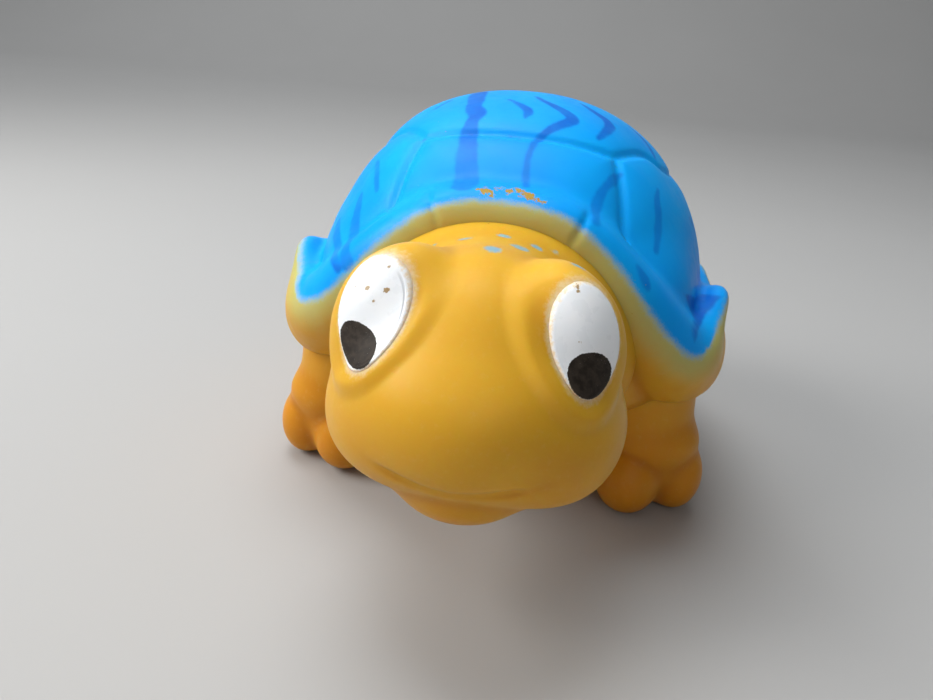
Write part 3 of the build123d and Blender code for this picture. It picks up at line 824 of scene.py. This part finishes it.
def make_eye():
    n = Nodes("eye_white_paint")
    vec = n.rest()
    cloud = n.noise(vec, 0.25, 3.0)
    col = n.mix(n.ramp(cloud, 0.3, 0.7), (0.90, 0.935, 0.98), (0.95, 0.97, 1.0))
    # thin, yellowed paint along the very edge
    edge = n.math("ADD", n.attr("rim"), n.math("MULTIPLY", n.math("SUBTRACT", n.noise(vec, 1.8, 4.0, 0.7), 0.5), 0.9))
    col = n.mix(n.ramp(edge, -0.35, 0.12, 0.0, 0.85), col, (0.82, 0.58, 0.28))
    # an embossed ridge just inside the edge nearest the nose, raised in the bump, with painted shade along it in the
    # colour
    ridge = n.ramp(n.math("ABSOLUTE", n.math("ADD", n.attr("rim"), 0.50)), 0.03, 0.16, 1.0, 0.0)
    ridge = n.math("MULTIPLY", ridge, n.ramp(n.z(vec, 0), -1.0, 1.0, 1.0, 0.10))
    ridge = n.math("MULTIPLY", ridge, n.ramp(n.attr("across"), -2.6, -1.2, 1.0, 0.0))
    # painted shade along the ridge
    col = n.mix(n.math("MULTIPLY", ridge, 0.38), col, (0.38, 0.40, 0.46))
    # brown specks
    sp = n.math("ADD", n.attr("speck"), n.math("MULTIPLY", n.math("SUBTRACT", n.noise(vec, 4.0, 3.0, 0.7), 0.5), 0.55))
    col = n.mix(n.ramp(sp, -0.04, 0.06, 0.9, 0.0), col, (0.36, 0.21, 0.05))
    tiny = n.ramp(n.voronoi(vec, 1.1), 0.035, 0.07, 1.0, 0.0)
    tiny = n.math("MULTIPLY", tiny, n.ramp(n.noise(vec, 0.6, 1.0), 0.58, 0.62))
    col = n.mix(n.math("MULTIPLY", tiny, 0.6), col, (0.42, 0.30, 0.14))
    # pupil: near-black brown, ragged at the edge, with pale pin holes
    pu = n.math("ADD", n.attr("pupil"), n.math("MULTIPLY", n.math("SUBTRACT", n.noise(vec, 2.6, 5.0, 0.75), 0.5), 0.50))
    f = n.ramp(pu, -0.03, 0.05, 1.0, 0.0, smooth=False)
    holes = n.ramp(n.noise(vec, 7.0, 3.0, 0.8), 0.69, 0.73)
    side = n.ramp(n.attr("pupil"), -2.2, -0.3, 0.15, 1.0)
    f2 = n.math("MULTIPLY", f, n.math("SUBTRACT", 1.0, n.math("MULTIPLY", n.math("MULTIPLY", holes, side), 0.75)))
    dark = n.mix(n.ramp(n.noise(vec, 1.2, 3.0), 0.3, 0.7), (0.020, 0.015, 0.011), (0.045, 0.034, 0.026))
    col = n.mix(f2, col, dark)
    rough = n.mixf(f, n.ramp(n.noise(vec, 0.5, 4.0), 0.3, 0.7, 0.24, 0.36), n.ramp(n.noise(vec, 1.2, 4.0), 0.3, 0.7, 0.48, 0.60))
    bump = n.bump(n.math("SUBTRACT", f, ridge), 0.7, 0.00007)
    bump = n.bump(n.noise(vec, 3.0, 3.0), 0.15, 0.00005, bump)
    n.set(color=col, rough=rough, normal=bump, spec=n.mixf(f, 0.42, 0.20), sss=0.12, radius=(1, .8, .6), scale=0.0012)
    return n.mat


def make_plastic(name, a, b, rough0=0.34, sss=0.2):
    n = Nodes(name)
    vec = n.obj()
    cloud = n.noise(vec, 0.2, 4.0, 0.6)
    col = n.mix(n.ramp(cloud, 0.3, 0.7), a, b)
    grime = n.ramp(n.noise(vec, 1.1, 5.0, 0.7), 0.55, 0.75)
    col = n.mix(n.math("MULTIPLY", grime, 0.18), col, (0.35, 0.28, 0.20))
    scratch = n.noise(vec, 1.4, 6.0, 0.8, 2.5)
    n.set(color=col, rough=n.ramp(scratch, 0.3, 0.7, rough0, rough0 + 0.16), spec=0.5, sss=sss, radius=(1, .9, .7), scale=0.001,
          normal=n.bump(n.noise(vec, 3.5, 4.0, 0.6), 0.2, 0.00005))
    return n.mat


def make_reed():
    n = Nodes("reed_film_polyester")
    vec = n.obj()
    line = n.noise(vec, 0.8, 5.0, 0.7, 1.5)
    col = n.mix(n.ramp(line, 0.3, 0.7), (0.78, 0.80, 0.74), (0.86, 0.86, 0.80))
    n.set(color=col, rough=n.ramp(line, 0.3, 0.7, 0.16, 0.30), spec=0.5, sss=0.1, radius=(1, 1, .9), scale=0.0006,
          normal=n.bump(line, 0.2, 0.00003))
    return n.mat


# ------------------------------------------------------------------ the toy
H_SHELL, H_HEAD, H_BODY = ((0.52, 0.42, 0.55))

vinyl = make_vinyl("vinyl_amber_plain")
vinyl_head = make_vinyl("vinyl_amber_head", spotted=True)
vinyl_shell = make_vinyl("vinyl_shell_sprayed_blue", painted=True)
eye_paint = make_eye()


def dress(ob, mat):
    ob.data.materials.clear()
    ob.data.materials.append(mat)
    return ob


shell = build("shell_skin", shell_sdf, (-44, -30, 18), (44, 62, 74), H_SHELL, [
    ("blue", blue_distance), ("stripe", stripe_distance), ("chip", lambda p: ball_distance(p, CHIPS)),
    ("seam", lambda p: seam_distance(sym(p)) - 0.25)])
dress(shell, vinyl_shell)
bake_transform(shell)
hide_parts("shell_crown", "shell_flank", "shell_margin", "shell_lip")

belly = dress(build("belly_skin", belly_sdf, (-42, -34, 5), (42, 58, 48), H_BODY), vinyl)
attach(belly, "body")
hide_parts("belly")

for name, fn, lo, hi in (
    ("front_left_leg", front_leg_sdf, (14, -22, -3), (44, 10, 38)),
    ("front_right_leg", mirrored(front_leg_sdf), (-44, -22, -3), (-14, 10, 38)),
    ("rear_left_leg", rear_leg_sdf, (13, 20, -3), (44, 54, 34)),
    ("rear_right_leg", mirrored(rear_leg_sdf), (-44, 20, -3), (-13, 54, 34)),
):
    leg = dress(build(name + "_skin", fn, lo, hi, H_BODY), vinyl)
    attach(leg, "body")
    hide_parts(name)

tail = dress(build("tail_skin", tail_sdf, (-8, 38, 10), (8, 62, 30), H_HEAD), vinyl)
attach(tail, "body")
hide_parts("tail")


def spot_distance(p):
    return ball_distance(p, SPOTS)


def halo_distance(p):
    e, w = outside(p, WHITE)
    return np.where(w < 1, e, 9.0)


head = dress(build("head_skin", head_sdf, (-25, -64, 11), (25, -10, 60), H_HEAD,
                   [("spot", spot_distance), ("halo", halo_distance)]), vinyl_head)
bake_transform(head)
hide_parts("head", "neck")

SPECKS = {"left": [(0.5, 9.0, .14), (0.4, 8.8, .2), (0.2, 8.4, .2), (-1.7, 3.0, .14)],
          "right": [(1.7, 4.9, .12), (0.0, 5.6, .3), (-2.1, 6.4, .32), (-1.6, 4.7, .16), (-0.4, 8.7, .14)]}
for side in ("left", "right"):
    sign = 1.0 if side == "left" else -1.0

    def eye_one(p, sign=sign):
        return np.maximum(eye_sdf(p), 1.0 - sign * p[:, 0])

    def rim(p):
        return outside(p, WHITE)[0]

    def pupil(p):
        return outside(p, PUPIL)[0]

    def speck(p, side=side):
        u, v, w = eye_uvw(sym(p))
        d = np.full(len(p), 9.0, np.float32)
        for a, b, r in SPECKS[side]:
            d = np.minimum(d, np.hypot(u - a, v - b) - r)
        return d

    lo, hi = ((2, -58, 32), (26, -38, 60)) if side == "left" else ((-26, -58, 32), (-2, -38, 60))
    eye = dress(build(side + "_eye", eye_one, lo, hi, 0.25,
                      [("rim", rim), ("pupil", pupil), ("speck", speck), ("across", lambda p: eye_uvw(sym(p))[0])]), eye_paint)
    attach(eye, "head")
    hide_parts(side + "_eye_white", side + "_pupil")

cup_plastic = make_plastic("squeaker_plastic_cup", (0.66, 0.64, 0.58), (0.74, 0.72, 0.66))
base_plastic = make_plastic("squeaker_plastic_base", (0.58, 0.57, 0.53), (0.70, 0.68, 0.62), 0.30)
reed_film = make_reed()
for name, mat in (("squeaker_cup", cup_plastic), ("squeaker_cap", cup_plastic), ("squeaker_reed_base", base_plastic),
                  ("squeaker_reed_clip", base_plastic), ("squeaker_reed", reed_film)):
    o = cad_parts[name]
    o.data.materials.clear()
    o.data.materials.append(mat)

# ------------------------------------------------------------------ stage, light, camera
profile = [(-3.0, 0.0), (-1.0, 0.0), (0.0, 0.0), (0.6, 0.0), (1.0, 0.0)]
profile += [(1.0 + 0.7 * np.sin(k), 0.7 - 0.7 * np.cos(k)) for k in np.linspace(0, np.pi / 2, 17)[1:]]
profile += [(1.7, 1.4), (1.7, 3.0)]
verts = [(x, y, z - 0.0002) for x in (-4.0, 4.0) for y, z in profile]
k = len(profile)
me = bpy.data.meshes.new("floor")
me.from_pydata(verts, [], [(i, i + k, i + k + 1, i + 1) for i in range(k - 1)])
me.polygons.foreach_set("use_smooth", np.ones(k - 1, bool))
floor = bpy.data.objects.new("floor", me)
bpy.context.scene.collection.objects.link(floor)
fl = Nodes("floor_paper")
fvec = fl.obj()
fl.set(color=fl.mix(fl.noise(fvec, 0.004, 3.0), (0.42, 0.415, 0.41), (0.455, 0.45, 0.445)), rough=0.75, spec=0.25)
floor.data.materials.append(fl.mat)

world = bpy.data.worlds.new("studio")
bpy.context.scene.world = world
world.use_nodes = True
wt = world.node_tree
wt.nodes.clear()
wo = wt.nodes.new("ShaderNodeOutputWorld")
wb = wt.nodes.new("ShaderNodeBackground")
wb.inputs[0].default_value = (0.96, 0.96, 0.95, 1)
wb.inputs[1].default_value = 0.08
wt.links.new(wb.outputs[0], wo.inputs[0])


def area(name, loc, target, size, power, colour):
    li = bpy.data.lights.new(name, "AREA")
    li.shape = "RECTANGLE"
    li.size, li.size_y = size
    li.energy = power
    li.color = colour
    ob = bpy.data.objects.new(name, li)
    bpy.context.scene.collection.objects.link(ob)
    ob.location = loc
    ob.rotation_euler = (Vector(target) - Vector(loc)).to_track_quat("-Z", "Y").to_euler()
    return ob


area("key", (-0.44, -0.14, 0.36), (0, -0.01, 0.04), (0.30, 0.26), 2.55, (1.0, 0.985, 0.955))
area("top", (-0.08, 0.10, 0.55), (0, 0.0, 0.05), (0.40, 0.34), 1.40, (0.93, 0.97, 1.0)).visible_glossy = False
area("back_wash", (-0.6, 0.6, 1.6), (0, 1.4, 0.3), (1.6, 1.0), 16.0, (0.95, 0.98, 1.0))
area("fill", (0.12, -0.50, 0.32), (0, -0.02, 0.035), (0.36, 0.30), 0.40, (1.0, 0.975, 0.94))
sun = bpy.data.lights.new("sky", "SUN")
sun.energy = 0.34
sun.angle = 1.2
sun.color = (0.95, 0.97, 1.0)
so = bpy.data.objects.new("sky", sun)
bpy.context.scene.collection.objects.link(so)
so.rotation_euler = (np.radians(18), np.radians(-22), 0)

scene = bpy.context.scene
scene.view_settings.view_transform = "Standard"
cam_data = bpy.data.cameras.new("camera")
cam_data.sensor_width = 36.0
cam_data.lens = 27.78
cam_data.clip_start = 0.005
cam = bpy.data.objects.new("camera", cam_data)
scene.collection.objects.link(cam)
a, p, r = np.radians(6.7), np.radians(23.1), np.radians(5.1)
right = np.array([np.cos(a), np.sin(a), 0])
ahead = np.array([-np.sin(a), np.cos(a), 0])
up = np.array([0, 0, 1.0])
fwd = ahead * np.cos(p) - up * np.sin(p)
down = -ahead * np.sin(p) - up * np.cos(p)
x_axis = right * np.cos(r) - down * np.sin(r)
y_axis = -(right * np.sin(r) + down * np.cos(r))
m = Matrix.Identity(4)
for i in range(3):
    m[i][0], m[i][1], m[i][2] = x_axis[i], y_axis[i], -fwd[i]
m[0][3], m[1][3], m[2][3] = 0.0088, -0.1286, 0.0781
cam.matrix_world = m
scene.camera = cam
